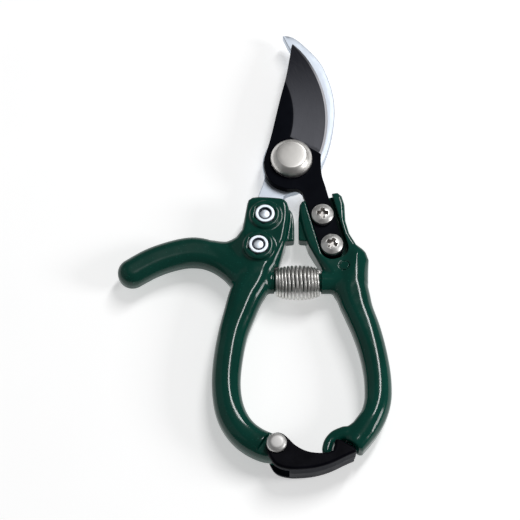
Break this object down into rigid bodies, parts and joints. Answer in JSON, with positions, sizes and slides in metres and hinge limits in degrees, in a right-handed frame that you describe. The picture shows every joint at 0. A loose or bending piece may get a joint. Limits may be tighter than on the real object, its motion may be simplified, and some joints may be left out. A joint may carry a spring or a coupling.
{
  "type": "bypass pruning shears",
  "caption": "Hand pruning shears: curved bypass blades on a domed pivot, two looped cast handles with a thumb lever, a coil spring and a swinging catch.",
  "frame": {"origin": "centre of the pivot nut's back face, on the surface that the shears rest on", "axes": "+Z along the pivot axis toward the domed head, +Y toward the blade tips, +X toward the cutting-blade handle"},
  "size_m": [0.1141, 0.2063, 0.0195],
  "materials": {
    "green_enamel": "gloss",
    "black_coated_steel": "satin",
    "bright_steel": "satin",
    "polished_steel": "polished",
    "steel_fasteners": "polished",
    "zinc_nuts": "zinc plated",
    "nylon_inserts": "matt",
    "spring_steel": "bright drawn wire",
    "black_plastic": "satin, moulded grain",
    "satin_rivet": "satin"
  },
  "bodies": {
    "left_side": {"left_handle": "green_enamel", "counter_blade": "bright_steel", "pivot_bolt": "polished_steel", "pivot_washer": "zinc_nuts", "pivot_nut": "zinc_nuts", "pivot_nut_insert": "nylon_inserts", "counter_blade_screw_upper": "steel_fasteners", "counter_blade_screw_lower": "steel_fasteners", "counter_blade_nut_upper": "zinc_nuts", "counter_blade_nut_lower": "zinc_nuts", "counter_blade_insert_upper": "nylon_inserts", "counter_blade_insert_lower": "nylon_inserts", "catch_rivet": "satin_rivet", "catch_rivet_washer": "satin_rivet", "return_spring": "spring_steel"},
    "right_side": {"right_handle": "green_enamel", "cutting_blade": "black_coated_steel", "cutting_blade_screw_upper": "steel_fasteners", "cutting_blade_screw_lower": "steel_fasteners", "cutting_blade_nut_upper": "zinc_nuts", "cutting_blade_nut_lower": "zinc_nuts", "cutting_blade_insert_upper": "nylon_inserts", "cutting_blade_insert_lower": "nylon_inserts"},
    "catch": {"catch": "black_plastic"}
  },
  "joints": [
    {"name": "blade_pivot", "type": "hinge", "parent": "left_side", "child": "right_side", "pos_m": [0, 0, 0.0095], "axis": [0, 0, 1], "range_deg": [0, 25], "deforming": ["return_spring"]},
    {"name": "catch_swing", "type": "hinge", "parent": "left_side", "child": "catch", "pos_m": [-0.0068, -0.131, 0.0095], "axis": [0, 0, -1], "range_deg": [0, 65]}
  ],
  "couplings": [
    {"joint": "catch_swing", "follows": "blade_pivot", "ratio": 2.6}
  ]
}
